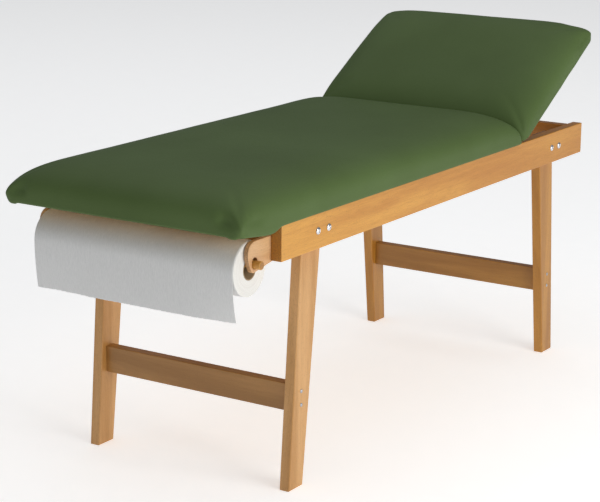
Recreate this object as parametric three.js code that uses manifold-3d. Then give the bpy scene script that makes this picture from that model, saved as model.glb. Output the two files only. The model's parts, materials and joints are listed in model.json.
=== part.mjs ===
// Wooden examination couch with an adjustable headrest and a paper roll under its foot end.
//
// Millimetres, +Z up. +X runs from the foot end to the head end and +Y to the left, seen from the
// foot end. The lengths below are measured along X from the foot end of the side rails; the whole
// couch is then shifted so that its origin lies on the floor under the middle of its box.
import * as THREE from 'three';
import { mergeVertices } from 'three/addons/utils/BufferGeometryUtils.js';
import { RoundedBoxGeometry } from 'three/addons/geometries/RoundedBoxGeometry.js';
import Module from 'manifold-3d';

const wasm = await Module();
wasm.setup();

// ---- driving dimensions ---------------------------------------------------------------------

const GAP = 0.3; // running gap between touching pieces
const WIDTH = 700; // over the side rails
const BOX_MIDDLE = 768.975; // middle of the whole couch, from the foot end of the rails

const RAIL = { length: 1684, height: 92, thick: 31, top: 710 };
const CROSS = { thick: 30, height: 90, below: 1, inset: 34, hingeX: 1190 };
const LEG = { thick: 30, top: 700, floor: [89, 151.5], rail: [137, 223] };
const STRETCHER = { thick: 30, height: 72, middleX: 141, bottom: 198 };
const EASE = 2; // eased edges of the wood

const BOLT = { x: [162, 211], z: 664, headRadius: 9.5, headHeight: 4.5, radius: 4, intoLeg: 25 };
const SCREW = { radius: 2.4, headRadius: 5, headHeight: 2, length: 62, spacing: 36 };
const BRACKET_SCREW = { radius: 2, headRadius: 4.5, headHeight: 2, length: 30, x: 15, z: [637, 664] };

const BRACKET = { thick: 12, tail: 30, top: 680, nose: -95, tip: [-74, 602.5], tailBottom: 619 };
const DOWEL = { radius: 10.5, x: -66.8, z: 622.5, end: 11 };
const SLOT = { radius: 11.3, rise: 6 };
const ROLL = { radius: 68.5, length: 608, ease: 1.5 };
const CORE = { inner: 24.5, outer: 27 };
const SHEET = { thick: 0.6, width: 604, bottom: 487 };

const PAD = { width: 722, corner: 27, rim: 4.5, tuck: 3, brim: 10, crown: 220, power: 3 };
const SEAT = { start: -182, thick: 98, lean: 22 };
const HEAD = { length: 524, thick: 86, lean: 24, angle: 30 };
const BOARD = { thick: 15, clear: 0.5 };

const HINGE = { x: 1271, z: 706, y: 200, width: 60, leaf: 38, plate: 2, barrel: 4.2, pin: 2.4, root: 5.5 };
const PROP = { arm: 150, offset: 5, slope: 8, y: 201, thick: 20, half: 15, barRadius: 10, barHalf: 284 };
const PIVOT = { radius: 6, block: 24, blockLength: 60, blockDepth: 27, gap: 1 };
const RACK = { thick: 26, from: 1440, to: 1592, bottom: 622, pitch: 19, depth: 9, clearance: 0.6 };

const ROUND = 24; // sides of a small round piece
const SCREW_SIDES = 10;
const ROLL_SIDES = 56;
const PAD_INSETS = [0, 2, 7, 16, 30, 52, 85, 140, 220]; // of the rings over a pad's crown
const CORNER_STEPS = 3;
const EDGE_STEPS = 9;

// ---- materials --------------------------------------------------------------------------------

const finish = (color, roughness, metalness = 0) => ({ color, roughness, metalness });
const BEECH = finish(0xd2a76f, 0.45);
const PALE_BEECH = finish(0xdcb78c, 0.5);
const DOWEL_WOOD = finish(0xc99a4e, 0.5);
const PLYWOOD = finish(0xc4a274, 0.7);
const VINYL = finish(0x5f7348, 0.42);
const PAPER = finish(0xe9eae8, 0.9);
const CARDBOARD = finish(0x9c8465, 0.85);
const CHROME = finish(0xd8dade, 0.15, 1);
const ZINC = finish(0xb4b6ba, 0.35, 1);
const STEEL = finish(0xa8abb0, 0.4, 1);

// ---- solids -----------------------------------------------------------------------------------

function solid(geometry) {
  const bare = geometry.clone();
  bare.deleteAttribute('normal');
  bare.deleteAttribute('uv');
  const merged = mergeVertices(bare, 1e-4);
  const vertProperties = new Float32Array(merged.attributes.position.array);
  const triVerts = new Uint32Array(merged.index.array);
  return new wasm.Manifold(new wasm.Mesh({ numProp: 3, vertProperties, triVerts }));
}

function geometryOf(body) {
  const { vertProperties, triVerts } = body.getMesh();
  const geometry = new THREE.BufferGeometry();
  geometry.setAttribute('position', new THREE.BufferAttribute(new Float32Array(vertProperties), 3));
  geometry.setIndex(new THREE.BufferAttribute(new Uint32Array(triVerts), 1));
  geometry.computeVertexNormals();
  return geometry;
}

// A tool is a geometry with a place in the same group as the mesh that it cuts or joins.
function tool(geometry, x, y, z) {
  const mesh = new THREE.Mesh(geometry);
  mesh.position.set(x, y, z);
  return mesh;
}

function combine(mesh, tools, operation) {
  mesh.updateMatrix();
  const toLocal = mesh.matrix.clone().invert();
  let body = solid(mesh.geometry);
  for (const each of tools) {
    each.updateMatrix();
    const shape = each.geometry.clone().applyMatrix4(each.matrix).applyMatrix4(toLocal);
    body = body[operation](solid(shape));
  }
  mesh.geometry = geometryOf(body);
  return mesh;
}

const cut = (mesh, ...tools) => combine(mesh, tools, 'subtract');
const join = (mesh, ...tools) => combine(mesh, tools, 'add');

function piece(parent, name, look, geometry, x = 0, y = 0, z = 0) {
  const mesh = new THREE.Mesh(geometry, new THREE.MeshStandardMaterial(look));
  mesh.name = name;
  mesh.position.set(x, y, z);
  parent.add(mesh);
  return mesh;
}

const block = (x, y, z) => new THREE.BoxGeometry(x, y, z);
const bar = (x, y, z) => new RoundedBoxGeometry(x, y, z, 1, EASE);
const rod = (radius, length, sides = ROUND) => new THREE.CylinderGeometry(radius, radius, length, sides);

// A plate standing in the XZ plane, its thickness centred on y = 0.
function plate(shape, thick, ease = EASE) {
  const geometry = new THREE.ExtrudeGeometry(shape, {
    depth: thick - 2 * ease,
    bevelEnabled: ease > 0,
    bevelThickness: ease,
    bevelSize: ease,
    bevelOffset: -ease,
    bevelSegments: 1,
    curveSegments: 10,
  });
  geometry.translate(0, 0, ease - thick / 2);
  return geometry.rotateX(Math.PI / 2);
}

// A flat board with round corners, its thickness centred on z = 0.
function slab(x, y, z, corner) {
  const shape = new THREE.Shape();
  const [midX, midY] = [x / 2 - corner, y / 2 - corner];
  shape.absarc(midX, midY, corner, 0, Math.PI / 2, false);
  shape.absarc(-midX, midY, corner, Math.PI / 2, Math.PI, false);
  shape.absarc(-midX, -midY, corner, Math.PI, 1.5 * Math.PI, false);
  shape.absarc(midX, -midY, corner, 1.5 * Math.PI, 2 * Math.PI, false);
  shape.closePath();
  const geometry = new THREE.ExtrudeGeometry(shape, { depth: z, bevelEnabled: false, curveSegments: 6 });
  return geometry.translate(0, 0, -z / 2);
}

const outline = (points) => new THREE.Shape(points.map(([x, z]) => new THREE.Vector2(x, z)));
const lathePoints = (profile) => profile.map(([radius, y]) => new THREE.Vector2(radius, y));
const turned = (profile, sides) => new THREE.LatheGeometry(lathePoints(profile), sides);
const radians = THREE.MathUtils.degToRad;

const SIDES = [['right', -1], ['left', 1]];
const ENDS = [['foot', (x) => x], ['head', (x) => RAIL.length - x]];
const railInner = WIDTH / 2 - RAIL.thick;
const railBottom = RAIL.top - RAIL.height;
const railMiddleY = WIDTH / 2 - RAIL.thick / 2;
const legInner = railInner - LEG.thick;

const couch = new THREE.Group();
couch.position.x = -BOX_MIDDLE;

// ---- frame: rails, cross rails, legs and stretchers -------------------------------------------

function boltPlaces() {
  return ENDS.flatMap(([end, mirror]) => BOLT.x.map((x, index) => [`${end}_${index + 1}`, mirror(x)]));
}

function screwHeights() {
  const middle = STRETCHER.bottom + STRETCHER.height / 2;
  return [middle - SCREW.spacing / 2, middle + SCREW.spacing / 2];
}

// Edges of a leg lean outwards towards the floor: straight lines through its two known widths.
function legEdge(index, z) {
  const slope = (LEG.rail[index] - LEG.floor[index]) / railBottom;
  return LEG.floor[index] + slope * z;
}

function addRails() {
  const z = RAIL.top - RAIL.height / 2;
  for (const [side, sign] of SIDES) {
    const rail = piece(couch, `side_rail_${side}`, BEECH, bar(RAIL.length, RAIL.thick, RAIL.height),
      RAIL.length / 2, sign * railMiddleY, z);
    const boltHoles = boltPlaces().map(([, x]) => tool(
      rod(BOLT.radius + GAP, 2 * RAIL.thick), x, rail.position.y, BOLT.z));
    const screwDepth = BRACKET_SCREW.length - BRACKET.thick + 1;
    const screwHole = rod(BRACKET_SCREW.radius + GAP, 2 * screwDepth, SCREW_SIDES);
    const screwHoles = BRACKET_SCREW.z.map((height) => tool(
      screwHole, BRACKET_SCREW.x, sign * railInner, height));
    cut(rail, ...boltHoles, ...screwHoles);
  }
}

function addCrossRails() {
  const length = 2 * (railInner - GAP);
  const middles = {
    foot: CROSS.inset + CROSS.thick / 2,
    hinge: CROSS.hingeX + CROSS.thick / 2,
    head: RAIL.length - CROSS.inset - CROSS.thick / 2,
  };
  for (const [name, x] of Object.entries(middles)) {
    const z = RAIL.top - CROSS.below - CROSS.height / 2;
    piece(couch, `cross_rail_${name}`, BEECH, bar(CROSS.thick, length, CROSS.height), x, 0, z);
  }
}

function addLegs() {
  for (const [end, mirror] of ENDS) {
    const corners = [
      [legEdge(0, 0), 0], [legEdge(1, 0), 0], [legEdge(1, LEG.top), LEG.top], [legEdge(0, LEG.top), LEG.top],
    ].map(([x, z]) => [mirror(x), z]);
    for (const [side, sign] of SIDES) {
      const y = sign * (railInner - LEG.thick / 2 - GAP);
      const board = plate(outline(corners), LEG.thick - GAP);
      const leg = piece(couch, `leg_${end}_${side}`, BEECH, board, 0, y, 0);
      const boltHoles = BOLT.x.map((x) => tool(
        rod(BOLT.radius + GAP, 2 * BOLT.intoLeg + 2), mirror(x), sign * railInner, BOLT.z));
      const screwHoles = screwHeights().map((z) => tool(
        rod(SCREW.radius + GAP, 2 * LEG.thick, SCREW_SIDES), mirror(STRETCHER.middleX), y, z));
      cut(leg, ...boltHoles, ...screwHoles);
    }
  }
}

function addStretchers() {
  const half = legInner - 2 * GAP;
  const depth = SCREW.length - LEG.thick + 1;
  for (const [end, mirror] of ENDS) {
    const x = mirror(STRETCHER.middleX);
    const z = STRETCHER.bottom + STRETCHER.height / 2;
    const board = bar(STRETCHER.thick, 2 * half, STRETCHER.height);
    const stretcher = piece(couch, `stretcher_${end}`, BEECH, board, x, 0, z);
    const holes = SIDES.flatMap(([, sign]) => screwHeights().map((height) => tool(
      rod(SCREW.radius + GAP, 2 * depth, SCREW_SIDES), x, sign * half, height)));
    cut(stretcher, ...holes);
  }
}

// ---- fasteners --------------------------------------------------------------------------------

// Each fastener points along Y with its head outwards, at +Y on the left side and -Y on the right.
function addLegBolts() {
  const steps = 3;
  const dome = Array.from({ length: steps + 1 }, (_, index) => {
    const turn = (index / steps) * Math.PI / 2;
    return [BOLT.headRadius * Math.cos(turn), BOLT.headHeight * Math.sin(turn)];
  });
  dome[steps][0] = 0;
  const reach = RAIL.thick + BOLT.intoLeg;
  const profile = [[0, -reach], [BOLT.radius, -reach], [BOLT.radius, 0], ...dome];
  for (const [side, sign] of SIDES) {
    for (const [place, x] of boltPlaces()) {
      const y = sign * (WIDTH / 2 + GAP);
      const bolt = piece(couch, `leg_bolt_${place}_${side}`, CHROME, turned(profile, ROUND), x, y, BOLT.z);
      bolt.rotation.x = sign > 0 ? 0 : Math.PI;
    }
  }
}

function screwGeometry(screw) {
  const profile = [
    [0, -screw.length], [screw.radius * 0.4, -screw.length + 1], [screw.radius, -screw.length + 6],
    [screw.radius, 0], [screw.headRadius, 0], [screw.headRadius * 0.85, screw.headHeight * 0.75],
    [screw.headRadius * 0.4, screw.headHeight], [0, screw.headHeight],
  ];
  return turned(profile, SCREW_SIDES);
}

function addStretcherScrews() {
  for (const [end, mirror] of ENDS) {
    for (const [side, sign] of SIDES) {
      screwHeights().forEach((z, index) => {
        const x = mirror(STRETCHER.middleX);
        const y = sign * (railInner + GAP);
        const name = `stretcher_screw_${end}_${side}_${index + 1}`;
        const screw = piece(couch, name, ZINC, screwGeometry(SCREW), x, y, z);
        screw.rotation.x = sign > 0 ? 0 : Math.PI;
      });
    }
  }
}

// ---- paper roll holder ------------------------------------------------------------------------

function bracketShape() {
  const [tipX, tipZ] = BRACKET.tip;
  const shape = new THREE.Shape();
  shape.moveTo(BRACKET.tail, BRACKET.tailBottom);
  shape.lineTo(BRACKET.tail, BRACKET.top);
  shape.lineTo(BRACKET.nose + 37, BRACKET.top);
  shape.quadraticCurveTo(BRACKET.nose + 3, BRACKET.top, BRACKET.nose, BRACKET.top - 28);
  shape.quadraticCurveTo(BRACKET.nose - 1, BRACKET.top - 46, tipX - 9, tipZ + 10);
  shape.quadraticCurveTo(tipX - 5, tipZ, tipX + 4, tipZ);
  shape.closePath();
  const slot = new THREE.Path();
  slot.absarc(DOWEL.x, DOWEL.z, SLOT.radius, Math.PI, 2 * Math.PI, false);
  slot.absarc(DOWEL.x, DOWEL.z + SLOT.rise, SLOT.radius, 0, Math.PI, false);
  slot.closePath();
  shape.holes.push(slot);
  return shape;
}

function addRollHolder() {
  const bracketY = railInner - BRACKET.thick / 2 - GAP;
  for (const [side, sign] of SIDES) {
    const bracket = piece(couch, `roll_bracket_${side}`, PALE_BEECH, plate(bracketShape(), BRACKET.thick, 1),
      0, sign * bracketY, 0);
    cut(bracket, ...BRACKET_SCREW.z.map((z) => tool(
      rod(BRACKET_SCREW.radius + GAP, 2 * BRACKET.thick, SCREW_SIDES), BRACKET_SCREW.x, sign * bracketY, z)));
    BRACKET_SCREW.z.forEach((z, index) => {
      const y = sign * (railInner - BRACKET.thick - 2 * GAP);
      const screw = piece(couch, `bracket_screw_${side}_${index + 1}`, ZINC, screwGeometry(BRACKET_SCREW),
        BRACKET_SCREW.x, y, z);
      screw.rotation.x = sign > 0 ? Math.PI : 0;
    });
  }
  const reach = WIDTH / 2 - DOWEL.end;
  const ease = 1.5;
  const profile = [
    [0, -reach], [DOWEL.radius - ease, -reach], [DOWEL.radius, ease - reach],
    [DOWEL.radius, reach - ease], [DOWEL.radius - ease, reach], [0, reach],
  ];
  piece(couch, 'roll_dowel', DOWEL_WOOD, turned(profile, ROUND), DOWEL.x, 0, DOWEL.z);
}

// The core hangs on the dowel, so the roll's axis lies below the dowel's.
const rollZ = DOWEL.z - (CORE.inner - DOWEL.radius - 2 * GAP);

function addPaper() {
  const half = ROLL.length / 2;
  const inner = CORE.outer + GAP;
  const ring = [
    [inner, -half], [ROLL.radius - ROLL.ease, -half], [ROLL.radius, ROLL.ease - half],
    [ROLL.radius, half - ROLL.ease], [ROLL.radius - ROLL.ease, half], [inner, half], [inner, -half],
  ];
  piece(couch, 'paper_roll', PAPER, turned(ring, ROLL_SIDES), DOWEL.x, 0, rollZ);
  const tube = [
    [CORE.inner, -half], [CORE.outer, -half], [CORE.outer, half], [CORE.inner, half], [CORE.inner, -half],
  ];
  piece(couch, 'paper_core', CARDBOARD, turned(tube, ROLL_SIDES), DOWEL.x, 0, rollZ);
  const drop = rollZ - SHEET.bottom;
  const x = DOWEL.x - ROLL.radius - GAP - SHEET.thick / 2;
  piece(couch, 'paper_sheet', PAPER, block(SHEET.thick, SHEET.width, drop), x, 0, rollZ - drop / 2);
}

// ---- upholstery -------------------------------------------------------------------------------

// How far a pad's top has risen at a distance in from its edge: steeply at first, and level past
// the width of its crown.
function rise(inset) {
  const left = Math.max(0, 1 - inset / PAD.crown);
  return (1 - left ** PAD.power) ** (1 / PAD.power);
}

// A ring around a pad: a rectangle with round corners, its points closer together near them. Each
// point has x, y and its distance from the farther of the two nearest edges.
function padRing(length, inset) {
  const [halfX, halfY] = [length / 2, PAD.width / 2];
  const [midX, midY] = [halfX - inset - PAD.corner, halfY - inset - PAD.corner];
  const corners = [[1, 1], [-1, 1], [-1, -1], [1, -1]].map(([x, y]) => [x * midX, y * midY]);
  const points = corners.flatMap(([x, y], quarter) => {
    const [nextX, nextY] = corners[(quarter + 1) % 4];
    const arc = Array.from({ length: CORNER_STEPS + 1 }, (_, step) => {
      const turn = (quarter + step / CORNER_STEPS) * Math.PI / 2;
      return [x + PAD.corner * Math.cos(turn), y + PAD.corner * Math.sin(turn)];
    });
    const [lastX, lastY] = arc[CORNER_STEPS];
    const edge = Array.from({ length: EDGE_STEPS - 1 }, (_, step) => {
      const part = (1 - Math.cos((step + 1) / EDGE_STEPS * Math.PI)) / 2;
      return [lastX + part * (nextX - x), lastY + part * (nextY - y)];
    });
    return [...arc, ...edge];
  });
  return points.map(([x, y]) => [x + halfX, y, Math.max(halfX - Math.abs(x), halfY - Math.abs(y))]);
}

// A crowned pad. Its flat underside is at z = 0 and it runs along X from 0 to length.
function padBlank(length, thick) {
  const hem = [[PAD.tuck, 0], [PAD.tuck / 3, PAD.brim * 0.4]].map(([inset, z]) =>
    padRing(length, inset).map(([x, y]) => [x, y, z]));
  const top = PAD_INSETS.map((inset) => padRing(length, inset).map(([x, y, reach]) =>
    [x, y, PAD.brim + (thick - PAD.brim) * rise(inset) * rise(reach)]));
  const rings = [...hem, ...top];
  const count = rings[0].length;
  const faces = [];
  for (let ring = 0; ring + 1 < rings.length; ring += 1) {
    for (let step = 0; step < count; step += 1) {
      const [a, b] = [ring * count + step, ring * count + (step + 1) % count];
      faces.push(a, b, b + count, a, b + count, a + count);
    }
  }
  const last = (rings.length - 1) * count;
  for (let step = 1; step + 1 < count; step += 1) {
    faces.push(0, step + 1, step, last, last + step, last + step + 1);
  }
  const geometry = new THREE.BufferGeometry();
  geometry.setAttribute('position', new THREE.Float32BufferAttribute(rings.flat(2), 3));
  return geometry.setIndex(faces);
}

// A wedge whose face starts on the hinge axis and leans away from it; it clears the pad's end.
function wedge(lean, direction, height) {
  const reach = height * Math.tan(radians(lean));
  const shape = outline([[-direction * height, -height], [0, -height], [0, 0],
    [direction * reach, height], [-direction * height, height]]);
  return plate(shape, 2 * PAD.width, 0);
}

const boardBottom = RAIL.top + BOARD.clear;
const underside = boardBottom - HINGE.z;

// A board stops short of its pad's leaning face by the pad's rim.
const boardInset = (lean) => 1 + (underside + BOARD.thick + GAP) * Math.tan(radians(lean)) + PAD.rim;
const boardWidth = PAD.width - 2 * PAD.rim;
const boardCorner = PAD.corner - PAD.rim;
const panel = (length) => slab(length, boardWidth, BOARD.thick, boardCorner);
const pocket = (length) => slab(length + 2 * GAP, boardWidth + 2 * GAP, 2 * (BOARD.thick + GAP), boardCorner);

function addSeat() {
  const length = HINGE.x - SEAT.start;
  const boardEnd = HINGE.x - boardInset(SEAT.lean);
  const boardLength = boardEnd - SEAT.start - PAD.rim;
  const boardX = boardEnd - boardLength / 2;
  const pad = piece(couch, 'seat_pad', VINYL, padBlank(length, SEAT.thick), SEAT.start, 0, boardBottom);
  cut(pad, tool(pocket(boardLength), boardX, 0, boardBottom),
    tool(wedge(SEAT.lean, -1, 2 * SEAT.thick), HINGE.x - 1, 0, HINGE.z));
  piece(couch, 'seat_board', PLYWOOD, panel(boardLength), boardX, 0,
    boardBottom + BOARD.thick / 2);
}

// The headrest turns about the hinge axis: in its own group X runs up along its board.
const headrest = new THREE.Group();
headrest.position.set(HINGE.x, 0, HINGE.z);
headrest.rotation.y = -radians(HEAD.angle);
couch.add(headrest);

function addHeadrest() {
  const boardStart = boardInset(HEAD.lean);
  const boardLength = HEAD.length - PAD.rim - boardStart;
  const boardX = boardStart + boardLength / 2;
  const pad = piece(headrest, 'headrest_pad', VINYL, padBlank(HEAD.length, HEAD.thick), 0, 0, underside);
  cut(pad, tool(pocket(boardLength), boardX, 0, underside),
    tool(wedge(HEAD.lean, 1, 2 * HEAD.thick), 1, 0, 0));
  piece(headrest, 'headrest_board', PLYWOOD, panel(boardLength), boardX, 0,
    underside + BOARD.thick / 2);
}

// ---- butt hinges ------------------------------------------------------------------------------

// A leaf lies under its board, on one side of the axis, and holds the pin with its own barrels.
function addLeaf(parent, name, direction, barrels, x, y, z) {
  const plateZ = HINGE.barrel - HINGE.plate / 2;
  const length = HINGE.leaf - HINGE.root;
  const middle = direction * (HINGE.root + length / 2);
  const leaf = piece(parent, name, STEEL, block(length, HINGE.width, HINGE.plate), x + middle, y, z + plateZ);
  for (const [from, to] of barrels) {
    const barrelY = y + (from + to) / 2;
    const reach = HINGE.root + 1;
    join(leaf, tool(rod(HINGE.barrel, to - from), x, barrelY, z),
      tool(block(reach, to - from, HINGE.plate), x + direction * reach / 2, barrelY, z + plateZ));
  }
  cut(leaf, tool(rod(HINGE.pin + GAP, 2 * HINGE.width), x, y, z));
}

function addHinges() {
  const third = HINGE.width / 6;
  for (const [side, sign] of SIDES) {
    const y = sign * HINGE.y;
    const outer = [[-3 * third, -third], [third, 3 * third]];
    const inner = [[GAP - third, third - GAP]];
    addLeaf(couch, `hinge_leaf_seat_${side}`, -1, outer, HINGE.x, y, HINGE.z);
    addLeaf(headrest, `hinge_leaf_head_${side}`, 1, inner, 0, y, 0);
    piece(couch, `hinge_pin_${side}`, STEEL, rod(HINGE.pin, HINGE.width + 2), HINGE.x, y, HINGE.z);
  }
}

// ---- headrest prop ----------------------------------------------------------------------------

// The prop hangs from a rod under the headrest. Hinge axis, rod and foot bar form an isosceles
// triangle whose base is the foot bar's straight path, which slopes down from the hinge axis.
const baseAngle = HEAD.angle - PROP.offset + PROP.slope;
const pivotX = PROP.arm * Math.cos(radians(PROP.offset));
const pivotZ = -PROP.arm * Math.sin(radians(PROP.offset));

const prop = new THREE.Group();
prop.position.set(pivotX, 0, pivotZ);
prop.rotation.y = radians(PROP.slope + baseAngle + HEAD.angle);
headrest.add(prop);

function addProp() {
  const shape = new THREE.Shape();
  shape.absarc(0, 0, PROP.half, Math.PI / 2, 1.5 * Math.PI, false);
  shape.absarc(PROP.arm, 0, PROP.half, -Math.PI / 2, Math.PI / 2, false);
  shape.closePath();
  const holes = [[0, PIVOT.radius], [PROP.arm, PROP.barRadius]].map(([x, radius]) =>
    new THREE.Path().absarc(x, 0, radius + GAP, 0, 2 * Math.PI, true));
  shape.holes.push(...holes);
  for (const [side, sign] of SIDES) {
    piece(prop, `prop_arm_${side}`, BEECH, plate(shape, PROP.thick, 1.5), 0, sign * PROP.y, 0);
  }
  piece(prop, 'prop_foot_bar', DOWEL_WOOD, rod(PROP.barRadius, 2 * PROP.barHalf), PROP.arm, 0, 0);
  const rodHalf = PROP.y + PROP.thick / 2 + PIVOT.gap + PIVOT.block + 3;
  piece(prop, 'prop_pivot_rod', STEEL, rod(PIVOT.radius, 2 * rodHalf), 0, 0, 0);
}

function addPivotBlocks() {
  const top = underside - GAP;
  for (const [side, sign] of SIDES) {
    const y = sign * (PROP.y + PROP.thick / 2 + PIVOT.gap + PIVOT.block / 2);
    const support = piece(headrest, `prop_pivot_block_${side}`, BEECH,
      bar(PIVOT.blockLength, PIVOT.block, PIVOT.blockDepth), pivotX, y, top - PIVOT.blockDepth / 2);
    cut(support, tool(rod(PIVOT.radius + GAP, 2 * PIVOT.block), pivotX, y, pivotZ));
  }
}

// Sawtooth racks inside the head legs. The foot bar slides just clear of the tooth tips.
function addRacks() {
  const slope = Math.tan(radians(PROP.slope));
  const lower = (PROP.barRadius + RACK.clearance) / Math.cos(radians(PROP.slope));
  const tipLine = (x) => HINGE.z - (x - HINGE.x) * slope - lower;
  const points = [[RACK.from, RACK.bottom]];
  for (let x = RACK.from; x + RACK.pitch <= RACK.to; x += RACK.pitch) {
    points.push([x, tipLine(x)], [x + 0.25 * RACK.pitch, tipLine(x) - RACK.depth]);
  }
  points.push([RACK.to, tipLine(RACK.to)], [RACK.to, RACK.bottom]);
  for (const [side, sign] of SIDES) {
    const y = sign * (legInner - 2 * GAP - RACK.thick / 2);
    piece(couch, `prop_rack_${side}`, BEECH, plate(outline(points), RACK.thick, 0), 0, y, 0);
  }
}

addRails();
addCrossRails();
addLegs();
addStretchers();
addLegBolts();
addStretcherScrews();
addRollHolder();
addPaper();
addSeat();
addHeadrest();
addHinges();
addProp();
addPivotBlocks();
addRacks();

export default couch;
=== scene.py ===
"""Looks of a wooden examination couch: upholstery, paper roll, materials, light and camera.

Metres, in the frame's axes: +X to the head end, +Y to the left seen from the foot end, +Z up.
"""
import json
import math

import bmesh
import bpy
import numpy as np
from mathutils import Matrix, Vector, noise


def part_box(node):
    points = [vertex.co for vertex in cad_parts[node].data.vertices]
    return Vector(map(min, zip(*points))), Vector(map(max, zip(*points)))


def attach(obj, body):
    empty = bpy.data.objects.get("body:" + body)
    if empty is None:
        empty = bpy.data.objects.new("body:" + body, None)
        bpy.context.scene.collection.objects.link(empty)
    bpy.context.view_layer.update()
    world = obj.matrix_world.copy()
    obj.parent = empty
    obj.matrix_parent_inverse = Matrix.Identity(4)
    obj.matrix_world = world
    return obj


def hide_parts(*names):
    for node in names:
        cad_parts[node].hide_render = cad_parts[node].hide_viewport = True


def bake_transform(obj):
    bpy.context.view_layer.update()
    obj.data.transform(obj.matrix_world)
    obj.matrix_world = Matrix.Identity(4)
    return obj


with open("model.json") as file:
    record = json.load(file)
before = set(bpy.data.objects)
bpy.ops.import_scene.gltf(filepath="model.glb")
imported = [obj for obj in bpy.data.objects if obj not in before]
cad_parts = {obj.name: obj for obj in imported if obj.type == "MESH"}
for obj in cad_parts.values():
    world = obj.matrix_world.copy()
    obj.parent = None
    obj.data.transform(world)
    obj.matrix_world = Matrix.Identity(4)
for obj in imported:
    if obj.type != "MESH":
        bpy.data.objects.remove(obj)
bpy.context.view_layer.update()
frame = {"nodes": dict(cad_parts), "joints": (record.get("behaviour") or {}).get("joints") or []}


# ---- places taken from the frame ------------------------------------------------------------

def joint(name):
    return next(each for each in frame["joints"] if each["name"] == name)


SEAT_LOW, SEAT_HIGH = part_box("seat_pad")
RAIL_LOW, RAIL_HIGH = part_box("side_rail_right")
ROLL_LOW, ROLL_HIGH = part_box("paper_roll")
CORE_LOW, CORE_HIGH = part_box("paper_core")
SHEET_LOW, SHEET_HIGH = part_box("paper_sheet")
HINGE = Vector(joint("headrest_hinge")["pos_m"])
HEAD_ANGLE = math.radians(-joint("headrest_hinge")["range_deg"][0])
HEAD_FRAME = Matrix.Translation(HINGE) @ Matrix.Rotation(-HEAD_ANGLE, 4, "Y")
UNDERSIDE = SEAT_LOW.z - HINGE.z  # of the boards, above the hinge axis
HEAD_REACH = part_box("headrest_pad")[1].x - HINGE.x
HEAD_LENGTH = (HEAD_REACH + UNDERSIDE * math.sin(HEAD_ANGLE)) / math.cos(HEAD_ANGLE)
PAD_WIDTH = SEAT_HIGH.y - SEAT_LOW.y
ROLL_AXIS = (ROLL_LOW + ROLL_HIGH) / 2
ROLL_RADIUS = (ROLL_HIGH.z - ROLL_LOW.z) / 2


# ---- camera, floor and light ----------------------------------------------------------------

CAMERA_FROM_RAIL = (-3.676, -2.4193, 1.7473)  # from the floor below the right rail's foot end
CAMERA_HEADING = 32.78  # degrees from +X towards +Y
CAMERA_PITCH = -14.04
CAMERA_ROLL = 0.52
CAMERA_LENS = 114.4
SENSOR_WIDTH = 36
VIEW_DEPTH = 60
KEY = {"place": (-0.8, -4.5, 1.7), "target": (0, 0, 0.55), "size": (3.0, 2.2), "power": 101,
       "tint": (1, 0.985, 0.955)}
OVERHEAD = {"place": (0.8, 0.8, 7.0), "target": (0.8, 0.8, 0), "size": (13, 13), "power": 250}
SKY_COLOUR = (0.92, 0.95, 1.0, 1)
SKY_STRENGTH = 0.19
FLOOR_GLOW = 0.56
FLOOR_REACH = 14


def add_camera():
    data = bpy.data.cameras.new("camera")
    data.sensor_width = SENSOR_WIDTH
    data.lens = CAMERA_LENS
    data.clip_end = VIEW_DEPTH
    camera = bpy.data.objects.new("camera", data)
    turn = Matrix.Rotation(math.radians(CAMERA_HEADING - 90), 4, "Z")
    tilt = Matrix.Rotation(math.radians(90 + CAMERA_PITCH), 4, "X")
    roll = Matrix.Rotation(math.radians(CAMERA_ROLL), 4, "Z")
    place = Vector((RAIL_LOW.x, RAIL_LOW.y, 0)) + Vector(CAMERA_FROM_RAIL)
    camera.matrix_world = Matrix.Translation(place) @ turn @ tilt @ roll
    bpy.context.scene.collection.objects.link(camera)
    bpy.context.scene.camera = camera


def add_area_light(name, place, target, size, power, tint=(1, 1, 1)):
    data = bpy.data.lights.new(name, "AREA")
    data.shape = "RECTANGLE"
    data.size, data.size_y = size
    data.energy = power
    data.color = tint
    light = bpy.data.objects.new(name, data)
    light.location = place
    light.rotation_euler = (Vector(target) - Vector(place)).to_track_quat("-Z", "Y").to_euler()
    bpy.context.scene.collection.objects.link(light)


def add_studio():
    """A large soft key on the right side of the couch, an even glow from above and little else."""
    add_area_light("key", **KEY)
    add_area_light("overhead", **OVERHEAD)
    world = bpy.data.worlds.new("studio")
    world.use_nodes = True
    background = world.node_tree.nodes["Background"]
    background.inputs["Color"].default_value = SKY_COLOUR
    background.inputs["Strength"].default_value = SKY_STRENGTH
    bpy.context.scene.world = world
    bpy.context.scene.view_settings.view_transform = "Standard"


# ---- material graphs ------------------------------------------------------------------------

def colour(code):
    """A hexadecimal sRGB colour as linear RGBA."""
    channels = [int(code[i:i + 2], 16) / 255 for i in (0, 2, 4)]
    linear = [c / 12.92 if c <= 0.04045 else ((c + 0.055) / 1.055) ** 2.4 for c in channels]
    return tuple(linear) + (1.0,)


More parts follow.
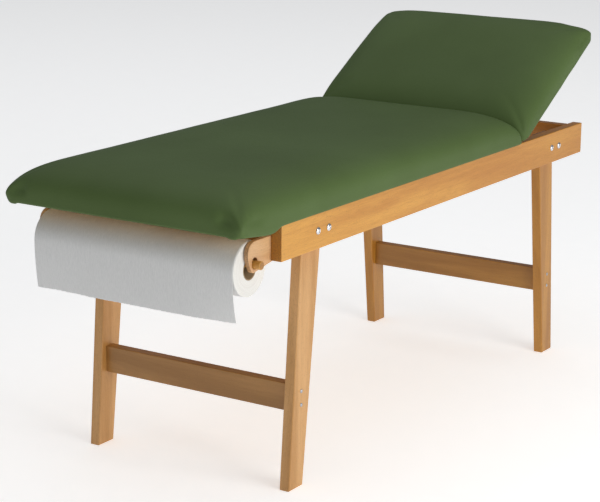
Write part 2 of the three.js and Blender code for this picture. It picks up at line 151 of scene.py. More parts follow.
class Graph:
    """A node material built around one Principled shader."""

    def __init__(self, name):
        self.material = bpy.data.materials.new(name)
        self.material.use_nodes = True
        self.tree = self.material.node_tree
        self.tree.nodes.clear()
        self.shader = self.add("ShaderNodeBsdfPrincipled")
        output = self.add("ShaderNodeOutputMaterial")
        self.tree.links.new(self.shader.outputs[0], output.inputs["Surface"])
        coordinates = self.add("ShaderNodeTexCoord")
        self.place = coordinates.outputs["Object"]
        self.normal = coordinates.outputs["Normal"]
        self.last_bump = None

    def add(self, kind, inputs=None, **settings):
        node = self.tree.nodes.new(kind)
        for key, value in settings.items():
            setattr(node, key, value)
        for key, value in (inputs or {}).items():
            self.feed(node.inputs[key], value)
        return node

    def feed(self, socket, value):
        if isinstance(value, bpy.types.NodeSocket):
            self.tree.links.new(value, socket)
        else:
            socket.default_value = value

    def set(self, **values):
        for key, value in values.items():
            self.feed(self.shader.inputs[key.replace("_", " ")], value)

    def stretched(self, scale, offset=(0, 0, 0)):
        inputs = {"Vector": self.place, "Scale": scale, "Location": offset}
        return self.add("ShaderNodeMapping", inputs).outputs[0]

    def noise(self, vector, scale=1.0, detail=3.0, rough=0.5, warp=0.0):
        inputs = {"Vector": vector, "Scale": scale, "Detail": detail, "Roughness": rough,
                  "Distortion": warp}
        return self.add("ShaderNodeTexNoise", inputs).outputs["Fac"]

    def combine(self, operation, a, b):
        return self.add("ShaderNodeVectorMath", {0: a, 1: b}, operation=operation)

    def lines(self, distance, per_metre):
        """Noise along one distance only."""
        inputs = {"W": self.math("MULTIPLY", distance, per_metre), "Scale": 1.0, "Detail": 2.0}
        return self.add("ShaderNodeTexNoise", inputs, noise_dimensions="1D").outputs["Fac"]

    def cells(self, vector, scale):
        inputs = {"Vector": vector, "Scale": scale, "Smoothness": 0.6}
        return self.add("ShaderNodeTexVoronoi", inputs, feature="SMOOTH_F1").outputs["Distance"]

    def math(self, operation, a, b=0.0, clamp=False):
        return self.add("ShaderNodeMath", {0: a, 1: b}, operation=operation, use_clamp=clamp).outputs[0]

    def fit(self, value, low, high, to_low=0.0, to_high=1.0):
        inputs = {"Value": value, "From Min": low, "From Max": high, "To Min": to_low,
                  "To Max": to_high}
        return self.add("ShaderNodeMapRange", inputs, interpolation_type="SMOOTHSTEP").outputs["Result"]

    def mix(self, factor, a, b, blend="MIX"):
        node = self.add("ShaderNodeMix", data_type="RGBA", blend_type=blend)
        self.feed(node.inputs[0], factor)
        self.feed(node.inputs[6], a)
        self.feed(node.inputs[7], b)
        return node.outputs[2]

    def axis_part(self, vector, axis):
        return self.add("ShaderNodeSeparateXYZ", {0: vector}).outputs["XYZ".index(axis)]

    def bump(self, height, distance, strength=1.0):
        inputs = {"Height": height, "Distance": distance, "Strength": strength}
        if self.last_bump is not None:
            inputs["Normal"] = self.last_bump
        self.last_bump = self.add("ShaderNodeBump", inputs).outputs["Normal"]
        self.feed(self.shader.inputs["Normal"], self.last_bump)


# ---- materials ------------------------------------------------------------------------------

def along_grain(axis, along, across):
    return tuple(along if each == axis else across for each in "XYZ")


def wood(name, axis, light, dark, seed, end_grain="6f4824", rough=0.36):
    """Lacquered wood with its grain along one axis: broad streaks, fine fibres and short flecks."""
    g = Graph(name)
    offset = (seed * 1.7, seed * 2.3, seed * 0.9)
    broad = g.noise(g.stretched(along_grain(axis, 1.3, 16), offset), detail=4, rough=0.55, warp=0.4)
    rings = g.noise(g.stretched(along_grain(axis, 2.2, 85), offset), detail=3, rough=0.6, warp=0.7)
    fibres = g.noise(g.stretched(along_grain(axis, 26, 900), offset), detail=3, rough=0.65)
    flecks = g.noise(g.stretched(along_grain(axis, 190, 1150), offset), detail=1)
    body = g.mix(g.fit(broad, 0.32, 0.68), colour(light), colour(dark))
    ringed = g.mix(g.math("MULTIPLY", g.fit(rings, 0.45, 0.72), 0.38), body, colour(dark))
    grained = g.mix(g.math("MULTIPLY", g.fit(fibres, 0.4, 0.75), 0.22), ringed, colour(end_grain))
    flecked = g.mix(g.math("MULTIPLY", g.fit(flecks, 0.64, 0.72), 0.45), grained, colour(end_grain))
    facing = g.math("ABSOLUTE", g.axis_part(g.normal, axis))
    pores = g.noise(g.stretched((700, 700, 700), offset), detail=2)
    end = g.mix(g.fit(pores, 0.35, 0.7), colour(end_grain), colour(dark))
    is_end = g.math("MULTIPLY", g.fit(facing, 0.75, 0.95), 0.75)
    g.set(Base_Color=g.mix(is_end, flecked, end),
          Roughness=g.fit(fibres, 0.3, 0.8, rough, rough + 0.12))
    g.shader.inputs["Coat Weight"].default_value = 0.08
    g.shader.inputs["Coat Roughness"].default_value = 0.22
    g.bump(fibres, 0.00012)
    g.bump(flecks, 0.00008)
    return g.material


def vinyl():
    """Matt upholstery vinyl: an embossed leather grain under slow changes of tone, its sunken cell
    borders darkened with painted shade.
    """
    g = Graph("vinyl")
    tone = g.noise(g.place, scale=2.2, detail=3)
    body = g.mix(g.fit(tone, 0.3, 0.7), colour("526639"), colour("5a6f41"))
    pebbles = g.cells(g.place, 620)
    wrinkles = g.noise(g.place, scale=420, detail=4, rough=0.6, warp=0.5)
    # painted shade: the grain's sunken cell borders are mixed towards the darker 44522f
    painted_valley_shade = g.math("MULTIPLY", g.fit(pebbles, 0.35, 0.75), 0.16)
    g.set(Base_Color=g.mix(painted_valley_shade, body, colour("44522f")),
          Roughness=g.fit(wrinkles, 0.3, 0.7, 0.46, 0.56))
    g.shader.inputs["Specular IOR Level"].default_value = 0.14
    g.bump(pebbles, -0.00010)
    g.bump(wrinkles, 0.00007)
    g.bump(g.noise(g.place, scale=38, detail=3), 0.0005, 0.5)
    return g.material


def paper_face():
    """Creped paper: fine lines around the roll and down the sheet."""
    g = Graph("crepe_paper")
    crepe = g.noise(g.stretched((90, 1500, 90)), detail=2, rough=0.6, warp=0.3)
    folds = g.noise(g.stretched((7, 130, 7)), detail=3, rough=0.5)
    g.set(Base_Color=g.mix(g.fit(crepe, 0.3, 0.75, 0, 0.6), colour("e9e9e8"), colour("d0d1d0")),
          Roughness=0.85)
    g.shader.inputs["Specular IOR Level"].default_value = 0.25
    g.bump(crepe, 0.00018)
    g.bump(folds, 0.0006)
    return g.material


def paper_end():
    """The wound layers that show at the roll's ends, as rings around its axis."""
    g = Graph("paper_layers")
    centred = g.combine("SUBTRACT", g.place, tuple(ROLL_AXIS)).outputs[0]
    flat = g.combine("MULTIPLY", centred, (1, 0, 1)).outputs[0]
    radius = g.add("ShaderNodeVectorMath", {0: flat}, operation="LENGTH").outputs["Value"]
    wobble = g.math("MULTIPLY", g.noise(centred, scale=22, detail=2), 0.0016)
    across = g.math("ADD", radius, wobble)
    layers = g.lines(across, 1500)
    bands = g.lines(across, 170)
    body = g.mix(g.fit(layers, 0.4, 0.7, 0, 0.7), colour("edece8"), colour("d2d0ca"))
    g.set(Base_Color=g.mix(g.fit(bands, 0.5, 0.75, 0, 0.3), body, colour("cfccc4")), Roughness=0.9)
    g.bump(layers, 0.0003)
    return g.material


def cardboard():
    g = Graph("cardboard")
    fibres = g.noise(g.stretched((260, 60, 260)), detail=4, rough=0.65)
    g.set(Base_Color=g.mix(fibres, colour("8d7759"), colour("b09a78")), Roughness=0.85)
    g.bump(fibres, 0.0002)
    return g.material


def metal(name, code, rough, brush):
    g = Graph(name)
    scratches = g.noise(g.stretched(brush), detail=3, rough=0.7)
    stains = g.noise(g.place, scale=120, detail=2)
    g.set(Base_Color=g.mix(g.fit(stains, 0.3, 0.8, 0, 0.25), colour(code), colour("8f9194")),
          Roughness=g.fit(scratches, 0.3, 0.7, rough, rough + 0.1))
    g.shader.inputs["Metallic"].default_value = 1.0
    g.bump(scratches, 0.00002)
    return g.material


def floor_surface():
    g = Graph("floor")
    speckle = g.noise(g.place, scale=14, detail=4)
    pale = g.mix(speckle, colour("f4f4f4"), colour("f0f0f0"))
    g.set(Base_Color=pale, Roughness=0.8, Emission_Color=pale)
    g.shader.inputs["Emission Strength"].default_value = FLOOR_GLOW
    g.bump(speckle, 0.0004)
    return g.material


PLANKS = {  # start of the node's name: direction of the grain, light and dark tone
    "side_rail": ("X", "d89b3c", "bc7a20"), "cross_rail": ("Y", "c4893a", "a66c24"),
    # leg_head and stretcher_head get darker, more orange tones than the foot-end legs and stretchers:
    # painted shade of the head end
    "leg_foot": ("Z", "d6a468", "bb8645"), "leg_head": ("Z", "c58c38", "a97024"),
    "stretcher_foot": ("Y", "b38244", "996a2e"), "stretcher_head": ("Y", "b38038", "996826"),
    "prop_arm": ("X", "d4a364", "b9853f"), "prop_pivot_block": ("X", "d4a364", "b9853f"),
    "prop_rack": ("X", "d4a364", "b9853f"), "roll_bracket": ("X", "e6bd8d", "d3a372"),
    "roll_dowel": ("Y", "d49b45", "b97f30"), "prop_foot_bar": ("Y", "d49b45", "b97f30"),
}


def paint_nodes():
    """Gives every CAD node that stays visible its material; each plank gets its own grain."""
    steel = metal("steel", "b4b6ba", 0.34, (80, 900, 80))
    for seed, (node, thing) in enumerate(sorted(frame["nodes"].items())):
        plank = next((each for start, each in PLANKS.items() if node.startswith(start)), None)
        if plank:
            assign(thing, wood("beech_" + node, plank[0], plank[1], plank[2], seed))
        elif node.endswith("_board"):
            assign(thing, wood("plywood_" + node, "X", "d8bc90", "c4a06c", seed, rough=0.6))
        else:
            assign(thing, steel)


def assign(thing, *materials):
    thing.data.materials.clear()
    for each in materials:
        thing.data.materials.append(each)


# ---- mesh helpers ---------------------------------------------------------------------------

def new_piece(name, mesh_data, body, materials=(), replaces=()):
    """Makes an object of a mesh in the frame's axes, riding on a body when one is given."""
    piece = bpy.data.objects.new(name, mesh_data)
    bpy.context.scene.collection.objects.link(piece)
    assign(piece, *materials)
    if body is not None:
        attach(piece, body)
    if replaces:
        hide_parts(*replaces)
    return piece


def mesh_from(name, points, faces, smooth=True):
    data = bpy.data.meshes.new(name)
    data.from_pydata([tuple(p) for p in points], [], faces)
    data.validate()
    build = bmesh.new()
    build.from_mesh(data)
    bmesh.ops.recalc_face_normals(build, faces=build.faces)
    build.to_mesh(data)
    build.free()
    data.shade_smooth() if smooth else data.shade_flat()
    return data


def ring_faces(rings, count, closed=True):
    """Quads between successive rings of points; closed says that the first follows the last."""
    faces = []
    last = rings if closed else rings - 1
    for ring in range(last):
        for step in range(count):
            a = ring * count + step
            b = ring * count + (step + 1) % count
            shift = ((ring + 1) % rings - ring) * count
            faces.append((a, b, b + shift, a + shift))
    return faces


def read_points(data):
    points = np.empty(len(data.vertices) * 3)
    data.vertices.foreach_get("co", points)
    return points.reshape(-1, 3)


def write_points(data, points):
    data.vertices.foreach_set("co", np.ascontiguousarray(points, dtype=np.float32).ravel())
    data.update()


def smooth_step(value, low, high):
    t = np.clip((value - low) / (high - low), 0, 1)
    return t * t * (3 - 2 * t)


def noise_at(points, scale, seed=0.0):
    return np.array([noise.noise(Vector(p) * scale + Vector((seed, seed, seed))) for p in points])


# ---- upholstered pads -----------------------------------------------------------------------

SEAT_THICK = SEAT_HIGH.z - SEAT_LOW.z
HEAD_THICK = 0.086
PAD_CORNER = 0.027
PAD_CROWN = 0.22  # how far in from its edges a pad keeps rising
PAD_POWER = 3.4
PAD_BRIM = 0.01  # height of the pad's widest level above its underside
PAD_POCKET = 0.002  # the closed bottom of the shell, inside the board
SEAM_GAP = 0.0008
CROWN_STEPS = 26
PAD_STEP = 0.011
PAD_RIM = ((0, 0.0068), (0.0003, 0.0038), (0.0011, 0.0013), (0.003, 0), (0.0042, 0))  # inset, height
PAD_WALL = 0.0044  # from the pad's edge to the board
FOAM_CAP = 0.0015  # the furthest that the foam may push the vinyl
FOAM_PRESSURE = 4.0
FOAM_FRAMES = 20
FOAM_SMOOTHING = 12
HELD_BELOW = 1.2 * PAD_BRIM  # the vinyl is stapled up to this height
SEAT_RISE = 0.001  # how much the foam stands proud of the CAD pad
HEAD_RISE = 0.005
LEAN_REACH = 0.2
WRINKLE = 0.0007
CORNER_REACH = 0.075  # how far from a corner its ridge shows, and how high its tuck reaches
BOARD_TOP = (0.016, 0.034)  # over these heights the tuck may press in, as the board is below them
LIP_DROP = 0.0105  # how much lower the side lip hangs than at its corner
LIP_END = (0.128, 0.178)  # where the side lip ends, from the corner


def rise(inset):
    """How far the pad's top has risen at a distance in from its edge, from 0 to 1."""
    left = np.clip(1 - inset / PAD_CROWN, 0, 1)
    return (1 - left ** PAD_POWER) ** (1 / PAD_POWER)


def spread(length):
    """Insets of the grid lines across a pad: close together at both edges, even in the middle."""
    turns = np.linspace(0, math.pi / 2, CROWN_STEPS)
    near = PAD_CROWN * (1 - np.cos(turns) ** (2 / PAD_POWER))
    count = max(2, round((length - 2 * PAD_CROWN) / PAD_STEP))
    middle = np.linspace(PAD_CROWN, length - PAD_CROWN, count + 1)[1:-1]
    return np.concatenate([near, middle, length - near[::-1]])


def pad_shell(name, length, width, thick):
    """A closed crowned pad: underside at z = 0, along X from 0 to length, centred on Y."""
    across_x, across_y = np.meshgrid(spread(length), spread(width), indexing="ij")
    edge_x = np.minimum(across_x, length - across_x)
    edge_y = np.minimum(across_y, width - across_y)
    ring = np.minimum(edge_x, edge_y)
    beyond = np.maximum(edge_x, edge_y) - ring
    turn = np.clip(1 - beyond / PAD_CORNER, 0, 1) * math.pi / 4
    in_corner = beyond < PAD_CORNER
    near = np.where(in_corner, ring + PAD_CORNER * (1 - np.cos(turn)), ring)
    far = np.where(in_corner, ring + PAD_CORNER * (1 - np.sin(turn)), ring + beyond)
    inset_x = np.where(edge_x <= edge_y, near, far)
    inset_y = np.where(edge_x <= edge_y, far, near)
    x = np.where(across_x < length / 2, inset_x, length - inset_x)
    y = np.where(across_y < width / 2, inset_y, width - inset_y) - width / 2
    z = PAD_BRIM + (thick - PAD_BRIM) * rise(ring) * rise(far)
    rows, columns = x.shape
    points = list(np.stack([x, y, z], axis=2).reshape(-1, 3))
    index = np.arange(rows * columns).reshape(rows, columns)
    corners = (index[:-1, :-1], index[1:, :-1], index[1:, 1:], index[:-1, 1:])
    top = list(zip(*(corner.ravel() for corner in corners)))
    faces = list(top)
    loop = list(index[:, 0]) + list(index[-1, 1:]) + list(index[-2::-1, -1]) + list(index[0, -2:0:-1])
    rim = np.array([points[i] for i in loop])
    middle = np.array((length / 2, 0, 0))
    half = np.array((length / 2, width / 2, 1))
    last = loop
    for inset, height in PAD_RIM:
        row = middle + (rim - middle) * (1 - inset / half)
        row[:, 2] = height
        start = len(points)
        points += list(row)
        this = list(range(start, start + len(loop)))
        for step in range(len(loop)):
            after = (step + 1) % len(loop)
            faces.append((last[step], last[after], this[after], this[step]))
        last = this
    under = len(points)
    shrink = np.array((1 - 2 * PAD_WALL / length, 1 - 2 * PAD_WALL / width))
    floor = np.stack([x, y, np.full_like(x, PAD_POCKET)], axis=2).reshape(-1, 3)
    floor[:, :2] = (floor[:, :2] - middle[:2]) * shrink + middle[:2]
    points += list(floor)
    faces += [tuple(under + corner for corner in face[::-1]) for face in top]
    for step in range(len(loop)):
        after = (step + 1) % len(loop)
        faces.append((last[step], last[after], under + loop[after], under + loop[step]))
    return mesh_from(name, points, faces)


def evaluated_mesh(thing, name):
    depsgraph = bpy.context.evaluated_depsgraph_get()
    data = bpy.data.meshes.new_from_object(thing.evaluated_get(depsgraph))
    data.name = name
    return data


def with_modifier(data, kind, **settings):
    """The same mesh after one modifier."""
    scratch = bpy.data.objects.new("scratch", data)
    bpy.context.scene.collection.objects.link(scratch)
    modifier = scratch.modifiers.new("change", kind)
    for key, value in settings.items():
        setattr(modifier, key, value)
    changed = evaluated_mesh(scratch, data.name)
    bpy.data.objects.remove(scratch)
    return changed


def smoothed(data, field, rounds):
    """A vector for each point of a mesh, averaged with its neighbours' again and again."""
    ends = np.empty(len(data.edges) * 2, dtype=np.int32)
    data.edges.foreach_get("vertices", ends)
    first, second = ends.reshape(-1, 2).T
    neighbours = np.bincount(ends, minlength=len(field))[:, None]
    for _ in range(rounds):
        total = np.zeros_like(field)
        np.add.at(total, first, field[second])
        np.add.at(total, second, field[first])
        field = (field + total / neighbours) / 2
    return field


def inflate(data, held):
    """Pushes a closed mesh out with foam pressure by a cloth simulation, within FOAM_CAP."""
    scratch = bpy.data.objects.new("scratch", data)
    bpy.context.scene.collection.objects.link(scratch)
    group = scratch.vertex_groups.new(name="held")
    group.add([int(i) for i in np.nonzero(held)[0]], 1.0, "REPLACE")
    cloth = scratch.modifiers.new("cloth", "CLOTH")
    cloth.settings.quality = 5
    cloth.settings.mass = 0.4
    cloth.settings.tension_stiffness = 25
    cloth.settings.compression_stiffness = 25
    cloth.settings.shear_stiffness = 12
    cloth.settings.bending_stiffness = 3
    cloth.settings.use_pressure = True
    cloth.settings.uniform_pressure_force = FOAM_PRESSURE
    cloth.settings.effector_weights.gravity = 0
    cloth.settings.vertex_group_mass = "held"
    cloth.point_cache.frame_start = 1
    cloth.point_cache.frame_end = FOAM_FRAMES
    scene = bpy.context.scene
    for number in range(1, FOAM_FRAMES + 1):
        scene.frame_set(number)
    blown = evaluated_mesh(scratch, data.name + "_blown")
    rest = read_points(data)
    move = read_points(blown) - rest
    bpy.data.objects.remove(scratch)
    bpy.data.meshes.remove(blown)
    scene.frame_set(1)
    length = np.linalg.norm(move, axis=1)
    move *= (FOAM_CAP * np.tanh(length / FOAM_CAP) / np.maximum(length, 1e-9))[:, None]
    write_points(data, rest + smoothed(data, move, FOAM_SMOOTHING))


def lean_end(points, at, direction, angle):
    """Leans the end at x = at back by angle, fading out along the pad."""
    inward = (at - points[:, 0]) * direction
    fade = 1 - smooth_step(inward, 0.0, LEAN_REACH)
    points[:, 0] -= direction * (points[:, 2] + UNDERSIDE) * math.tan(angle) * fade


def bell(value, height, middle, width):
    return height * np.exp(-((value - middle) / width) ** 2)


def corner_places(points, x, y, toward):
    """Distances from a corner along the pad's side and along its end."""
    return (points[:, 0] - x) * toward, np.abs(points[:, 1] - y)


def hang_lips(points, x, y, toward):
    """The folded vinyl hangs a little below the board at an overhanging corner."""
    along, aside = corner_places(points, x, y, toward)
    low = 1 - smooth_step(points[:, 2], 0.002, 0.03)
    on_side = 1 - smooth_step(aside, 0.004, 0.012)
    on_end = 1 - smooth_step(along, 0.004, 0.012)
    side_drop = 0.0005 + LIP_DROP * smooth_step(along, 0.012, 0.12)
    side_drop *= 1 - smooth_step(along, *LIP_END)
    end_drop = 0.0005 + 0.003 * smooth_step(aside, 0.01, 0.026)
    end_drop *= 1 - smooth_step(aside, 0.036, 0.046)
    drop = low * np.maximum(on_side * side_drop, on_end * end_drop)
    points[:, 2] -= drop
    points[:, 1] += math.copysign(1, y) * np.minimum(drop, 0.01) * 0.12


def fold_corner(points, x, y, toward):
    """The tuck at a corner: a soft upright ridge with a hollow in the vinyl on either side of it."""
    along, aside = corner_places(points, x, y, toward)
    near = np.exp(-((along / CORNER_REACH) ** 2 + (aside / CORNER_REACH) ** 2))
    low = 1 - smooth_step(points[:, 2], 0.03, CORNER_REACH)
    over_board = smooth_step(points[:, 2], *BOARD_TOP)
    offset = (along - aside) / math.sqrt(2)
    ridge = bell(offset, 0.0046, 0, 0.011) * smooth_step(points[:, 2], 0.0, 0.024)
    tuck = bell(offset, 0.0022, -0.02, 0.005) + bell(offset, 0.0016, 0.024, 0.006)
    hollow = bell(offset, 0.0095, -0.031, 0.015) + bell(offset, 0.0045, 0.045, 0.02)
    edge = 1 - smooth_step(np.minimum(along, aside), 0.0, 0.05)
    push = low * (near * (ridge - tuck * over_board) - hollow * over_board * edge)
    points[:, 0] -= toward * push
    points[:, 1] += math.copysign(1, y) * push


def tension_wrinkles(points, length, width):
    """Faint pulls in the vinyl near the pad's edges and down its sides."""
    from_ends = np.minimum(points[:, 0], length - points[:, 0])
    inset = np.minimum(from_ends, width / 2 - np.abs(points[:, 1]))
    on_side = 1 - smooth_step(inset, 0.0, 0.16)
    stretched = points * np.array((9.0, 9.0, 2.0))
    points[:, 2] += WRINKLE * noise_at(stretched, 1.0, 3.7) * on_side
    pulls = noise_at(points * np.array((16.0, 16.0, 3.0)), 1.0, 8.1)
    lean = WRINKLE * 1.6 * pulls * (1 - smooth_step(inset, 0, 0.03))
    points[:, 1] += np.sign(points[:, 1]) * lean


def make_pad(name, node, length, thick, place, lean, folds, lips):
    """A foam pad under vinyl. lean is (x, direction, angle) of its end at the hinge."""
    data = pad_shell(name, length, PAD_WIDTH, thick)
    inflate(data, read_points(data)[:, 2] < HELD_BELOW)
    fine = with_modifier(data, "SUBSURF", levels=1)
    points = read_points(fine)
    tension_wrinkles(points, length, PAD_WIDTH)
    for corner in folds:
        fold_corner(points, *corner)
    for corner in lips:
        hang_lips(points, *corner)
    lean_end(points, *lean)
    write_points(fine, points)
    fine.transform(place)
    fine.shade_smooth()
    pad = new_piece(name, fine, None, (VINYL,), (node,))
    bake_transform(pad)


def add_pads():
    """The facing ends of the two pads meet in the plane halfway between their boards."""
    seat_length = HINGE.x - SEAT_LOW.x - SEAM_GAP
    half = PAD_WIDTH / 2
    seat_corners = [(0, sign * half, 1) for sign in (-1, 1)]
    head_corners = [(HEAD_LENGTH, sign * half, -1) for sign in (-1, 1)]
    make_pad("seat_upholstery", "seat_pad", seat_length, SEAT_THICK + SEAT_RISE,
             Matrix.Translation((SEAT_LOW.x, 0, SEAT_LOW.z)),
             (seat_length, 1, HEAD_ANGLE / 2), seat_corners, seat_corners)
    make_pad("headrest_upholstery", "headrest_pad", HEAD_LENGTH - SEAM_GAP, HEAD_THICK + HEAD_RISE,
             HEAD_FRAME @ Matrix.Translation((SEAM_GAP, 0, UNDERSIDE)),
             (0, -1, HEAD_ANGLE / 2), head_corners, [])


# ---- paper roll -----------------------------------------------------------------------------

ROLL_SIDES = 180
ROLL_STEPS = 24  # along the roll's outer face
ROLL_SHOULDER = 0.002  # from the last wound layer's ring to the outer face
LAYER_STEP = 0.0016
CORE_SIDES = 96
CORE_RADIUS = (CORE_HIGH.z - CORE_LOW.z) / 2
CORE_WALL = 0.0025
CORE_EASE = 0.0004
CORE_GAP = 0.0004  # between the core and the paper
SHEET_LIFT = 0.0004
SHEET_THICK = 0.0003
SHEET_START = math.radians(62)  # where the sheet leaves the roll, turning from +X over the top
SHEET_COLUMNS = 240
SHEET_ROWS = 90
NEAR_CURL = (0.13, 0.012)  # reach from the sheet's right edge and depth at its lower corner
FAR_CURL = (0.2, 0.004)


def turned(name, profile, sides, centre):
    """Turns a closed profile of (radius, y) points around an axis along Y."""
    points = []
    for radius, y in profile:
        for step in range(sides):
            turn = 2 * math.pi * step / sides
            points.append((centre.x + radius * math.cos(turn), y, centre.z + radius * math.sin(turn)))
    return mesh_from(name, points, ring_faces(len(profile), sides))


def roll_profile():
    """Outline of the paper ring: stepped layers at both ends, a barely uneven outer face."""
    inner = CORE_RADIUS + CORE_GAP
    depth = ROLL_RADIUS - ROLL_SHOULDER - inner
    layers = int(depth / LAYER_STEP)
    half = ROLL_HIGH.y
    profile = []
    for sign in (1, -1):
        rim = []
        for layer in range(layers + 1):
            radius = inner + depth * layer / layers
            shift = 0.0006 * noise.noise(Vector((layer * 0.61, sign * 3.1, 0.5))) - 0.0006
            rim.append((radius, sign * (half + shift)))
        rim.append((ROLL_RADIUS - 0.0006, sign * (half - 0.0012)))
        profile += rim if sign > 0 else rim[::-1]
        if sign > 0:
            for step in range(ROLL_STEPS + 1):
                y = (half - 0.003) * (1 - 2 * step / ROLL_STEPS)
                uneven = 0.0003 * noise.noise(Vector((y * 9, 1.7, 0)))
                profile.append((ROLL_RADIUS - 0.0003 + uneven, y))
    return profile


def add_roll():
    data = turned("roll", roll_profile(), ROLL_SIDES, ROLL_AXIS)
    materials = (paper_face(), paper_end())
    new_piece("paper_roll_wound", data, "roll", materials, ("paper_roll",))
    for face in data.polygons:
        face.material_index = 1 if abs(face.normal.y) > 0.5 else 0
    half = CORE_HIGH.y
    inner = CORE_RADIUS - CORE_WALL
    outer = CORE_RADIUS
    ease = CORE_EASE
    profile = [(inner, -half + ease), (inner + ease, -half), (outer - ease, -half), (outer, -half + ease),
               (outer, half - ease), (outer - ease, half), (inner + ease, half), (inner, half - ease)]
    data = turned("core", profile, CORE_SIDES, ROLL_AXIS)
    new_piece("cardboard_core", data, "roll", (cardboard(),), ("paper_core",))


def sheet_path(distance, radius):
    """Where the sheet runs, by distance from its start: over the roll's top, then straight down."""
    around = (math.pi - SHEET_START) * radius
    if distance < around:
        turn = SHEET_START + distance / radius
        return ROLL_AXIS.x + radius * math.cos(turn), ROLL_AXIS.z + radius * math.sin(turn), 0.0
    hang = distance - around
    return ROLL_AXIS.x - radius, ROLL_AXIS.z - hang, hang


def add_sheet():
    radius = ROLL_RADIUS + SHEET_LIFT
    width = SHEET_HIGH.y - SHEET_LOW.y
    drop = ROLL_AXIS.z - SHEET_LOW.z
    length = (math.pi - SHEET_START) * radius + drop
    points, faces = [], []
    for row in range(SHEET_ROWS + 1):
        for column in range(SHEET_COLUMNS + 1):
            y = SHEET_LOW.y + width * column / SHEET_COLUMNS
            fine_tear = 0.0012 * noise.noise(Vector((y * 160, 4.2, 0)))
            tear = fine_tear + 0.0016 * noise.noise(Vector((y * 19, 9.1, 0)))
            x, z, hang = sheet_path((length + tear) * row / SHEET_ROWS, radius)
            down = hang / drop
            near_edge = max(0.0, 1 - (y - SHEET_LOW.y) / NEAR_CURL[0])
            far_edge = max(0.0, 1 - (SHEET_HIGH.y - y) / FAR_CURL[0])
            wave = 0.003 * noise.noise(Vector((y * 7, z * 4, 2.2))) * down
            curl = (0.005 + NEAR_CURL[1] * near_edge ** 1.6 + FAR_CURL[1] * far_edge) * down ** 2
            points.append((x + curl + wave, y, z))
    for row in range(SHEET_ROWS):
        for column in range(SHEET_COLUMNS):
            a = row * (SHEET_COLUMNS + 1) + column
            b = a + SHEET_COLUMNS + 1
            faces.append((a, a + 1, b + 1, b))
    data = mesh_from("sheet", points, faces)
    sheet = new_piece("paper_sheet_hanging", data, None, (paper_face(),), ("paper_sheet",))
    thickness = sheet.modifiers.new("thickness", "SOLIDIFY")
    thickness.thickness = SHEET_THICK
    thickness.offset = 0
    sheet.data = evaluated_mesh(sheet, "sheet")
    sheet.modifiers.clear()
    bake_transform(sheet)


# ---- hems and staples under the boards --------------------------------------------------------

HEM_THICK = 0.00022
HEM_CLEAR = 0.00002
HEM_INSET = 0.0034
HEM_START = 0.012  # from the hinge axis
HEM_WIDTH = 0.03
HEAD_HEM_WIDTH = 0.064  # wide enough for staples that clear the rails when the headrest lies flat
STAPLE_STEP = 0.055
STAPLE = (0.011, 0.0009, 0.0005)  # length, width and height
STAPLE_DROP = 0.00027  # of a staple's middle, below the hem
STAPLE_SIDE = 0.019  # from the pad's side
STAPLE_END = 0.02


def rounded_outline(half_x, half_y, corner, steps=8):
    """Points around a rectangle with round corners, centred on the origin."""
    turns = [math.radians(90 * (quarter + step / steps))
             for quarter in range(4) for step in range(steps + 1)]
    signs = [(1, 1), (-1, 1), (-1, -1), (1, -1)]
    return [(signs[i // (steps + 1)][0] * (half_x - corner) + corner * math.cos(turn),
             signs[i // (steps + 1)][1] * (half_y - corner) + corner * math.sin(turn))
            for i, turn in enumerate(turns)]


def add_hem(name, body, length, side_width, place):
    """The vinyl's edge, folded under a board and lying flat against it."""
    half_x, half_y = length / 2, PAD_WIDTH / 2
    outer = rounded_outline(half_x - HEM_INSET, half_y - HEM_INSET, PAD_CORNER - HEM_INSET)
    inner = rounded_outline(half_x - HEM_WIDTH, half_y - side_width, 0.004)
    top, bottom = -HEM_CLEAR, -HEM_CLEAR - HEM_THICK
    rows = [(outer, top), (outer, bottom), (inner, bottom), (inner, top)]
    points = [(x + length / 2, y, z) for row, z in rows for x, y in row]
    data = mesh_from(name, points, ring_faces(len(rows), len(outer)), smooth=False)
    data.transform(place)
    new_piece(name, data, body, (VINYL,))


def box_points(centre, size):
    half = Vector(size) / 2
    return [Vector(centre) + Vector((half.x * x, half.y * y, half.z * z))
            for x in (-1, 1) for y in (-1, 1) for z in (-1, 1)]


BOX_FACES = [(0, 1, 3, 2), (4, 6, 7, 5), (0, 4, 5, 1), (2, 3, 7, 6), (0, 2, 6, 4), (1, 5, 7, 3)]


def add_staples(name, body, rows, place):
    """Rows of staples through a hem; rows are (first, last, direction) in the board's plane."""
    long, wide, high = STAPLE
    height = -HEM_CLEAR - HEM_THICK - STAPLE_DROP
    points, faces = [], []
    for first, last, direction in rows:
        first, last = Vector(first), Vector(last)
        count = max(2, round((last - first).length / STAPLE_STEP))
        for step in range(count + 1):
            spot = first.lerp(last, step / count)
            jitter = 0.0015 * noise.noise(Vector((spot.x * 31, spot.y * 37, 0.3)))
            spot += Vector((jitter, jitter, 0))
            size = (long, wide, high) if direction == "X" else (wide, long, high)
            start = len(points)
            points += box_points((spot.x, spot.y, height), size)
            faces += [tuple(start + i for i in face) for face in BOX_FACES]
    data = mesh_from(name, points, faces, smooth=False)
    data.transform(place)
    new_piece(name, data, body, (frame["nodes"]["prop_pivot_rod"].data.materials[0],))


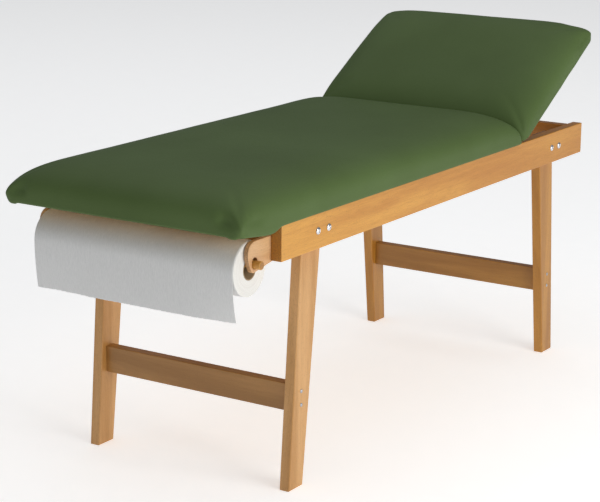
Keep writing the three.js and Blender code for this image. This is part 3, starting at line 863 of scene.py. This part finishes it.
def add_undersides():
    seat_place = Matrix.Translation((SEAT_LOW.x, 0, SEAT_LOW.z))
    head_place = HEAD_FRAME @ Matrix.Translation((0, 0, UNDERSIDE))
    add_hem("seat_hem", "frame", HINGE.x - SEAT_LOW.x - HEM_START, HEM_WIDTH, seat_place)
    head_start = Matrix.Translation((HEM_START, 0, 0))
    add_hem("headrest_hem", "headrest", HEAD_LENGTH - HEM_START, HEAD_HEM_WIDTH, head_place @ head_start)
    side = PAD_WIDTH / 2 - STAPLE_SIDE
    near, far = 0.05, RAIL_LOW.x - SEAT_LOW.x - 0.02
    add_staples("seat_staples", "frame", [
        ((near, side, 0), (far, side, 0), "X"), ((near, -side, 0), (far, -side, 0), "X"),
        ((STAPLE_END, 0.05 - side, 0), (STAPLE_END, side - 0.05, 0), "Y")], seat_place)
    near, far = 0.06, HEAD_LENGTH - 0.04
    side = abs(RAIL_HIGH.y) - 0.012
    end = HEAD_LENGTH - STAPLE_END
    add_staples("headrest_staples", "headrest", [
        ((near, side, 0), (far, side, 0), "X"), ((near, -side, 0), (far, -side, 0), "X"),
        ((end, 0.05 - side, 0), (end, side - 0.05, 0), "Y")], head_place)


# ---- fasteners --------------------------------------------------------------------------------

FASTENER_SIDES = 48
FASTENERS = (  # start of the node's name, finish, its head faces outwards, then the sizes below
    ("leg_bolt", "chrome", True, 0.0095, 0.0045, 0.056, 0.004, 0.0031, 6),
    ("stretcher_screw", "zinc", True, 0.005, 0.002, 0.062, 0.0024, 0.0022, 4),
    ("bracket_screw", "zinc", False, 0.0045, 0.002, 0.03, 0.002, 0.002, 4),
)


def head_rings(radius, height, socket):
    """Rings (radius, height, share of the socket's shape) from the rim over the dome into the socket."""
    rings = [(radius * 0.97, 0.0, 0), (radius, height * 0.06, 0)]
    steps = 9
    for step in range(1, steps + 1):
        turn = math.radians(82) * step / steps
        reach = radius * math.cos(turn)
        if reach > socket * 1.45:
            rings.append((reach, height * math.sin(turn), 0))
    top = height * math.sqrt(max(0.0, 1 - (socket * 1.3 / radius) ** 2))
    rings += [(socket * 1.3, top, 0.3), (socket * 1.1, top - 0.0001, 1), (socket, top - 0.0004, 1)]
    rings += [(socket * 0.98, top - height * 0.55, 1), (socket * 0.5, top - height * 0.6, 0.5)]
    return rings


def socket_shape(turn, lobes):
    """Radius of a hexagon or a cross, for a mean radius of one."""
    if lobes == 6:
        return 0.93 / math.cos((turn % (math.pi / 3)) - math.pi / 6)
    return 0.55 + 0.75 * abs(math.cos(2 * turn)) ** 3


def add_fastener(node, slot, material, sign, radius, height, length, shank, socket, lobes):
    """A screw or bolt along Y: its domed head faces sign, with a driver's recess, its shank in the wood.

    The sizes are the head's radius and height, the shank's length and radius, and the recess's radius
    and number of lobes.
    """
    low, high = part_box(node)
    face_y = (high.y - height) if sign > 0 else (low.y + height)
    centre = Vector(((low.x + high.x) / 2, face_y, (low.z + high.z) / 2))
    sides = FASTENER_SIDES
    rings = [(0.0004, -length, 0), (shank, -length + 0.003, 0), (shank, 0, 0)]
    rings += head_rings(radius, height, socket)
    points = []
    for ring_radius, out, share in rings:
        for step in range(sides):
            turn = 2 * math.pi * step / sides
            reach = ring_radius * (1 + share * (socket_shape(turn, lobes) - 1))
            points.append(centre + Vector((reach * math.cos(turn), sign * out, reach * math.sin(turn))))
    faces = ring_faces(len(rings), sides, closed=False)
    faces.append(tuple(reversed(range(sides))))
    faces.append(tuple(range(len(points) - sides, len(points))))
    new_piece(node + "_fine", mesh_from(node, points, faces), "frame", (material,), (node,))


def add_fasteners():
    finishes = {"chrome": metal("chrome", "e6e7ea", 0.1, (300, 300, 300)),
                "zinc": metal("zinc", "c3c5c9", 0.3, (300, 300, 300))}
    for node in sorted(frame["nodes"]):
        side = 1 if "left" in node else -1
        for start, finish, outwards, *sizes in FASTENERS:
            if node.startswith(start):
                sign = side if outwards else -side
                add_fastener(node, finish, finishes[finish], sign, *sizes)


# ---- stage ----------------------------------------------------------------------------------

def add_floor():
    size = FLOOR_REACH
    corners = [(-size, -size, 0), (size, -size, 0), (size, size, 0), (-size, size, 0)]
    data = mesh_from("floor", corners, [(0, 1, 2, 3)])
    floor = bpy.data.objects.new("floor", data)
    bpy.context.scene.collection.objects.link(floor)
    assign(floor, floor_surface())


add_camera()
add_studio()
add_floor()
VINYL = vinyl()
paint_nodes()
add_roll()
add_sheet()
add_pads()
add_undersides()
add_fasteners()

bpy.context.view_layer.update()
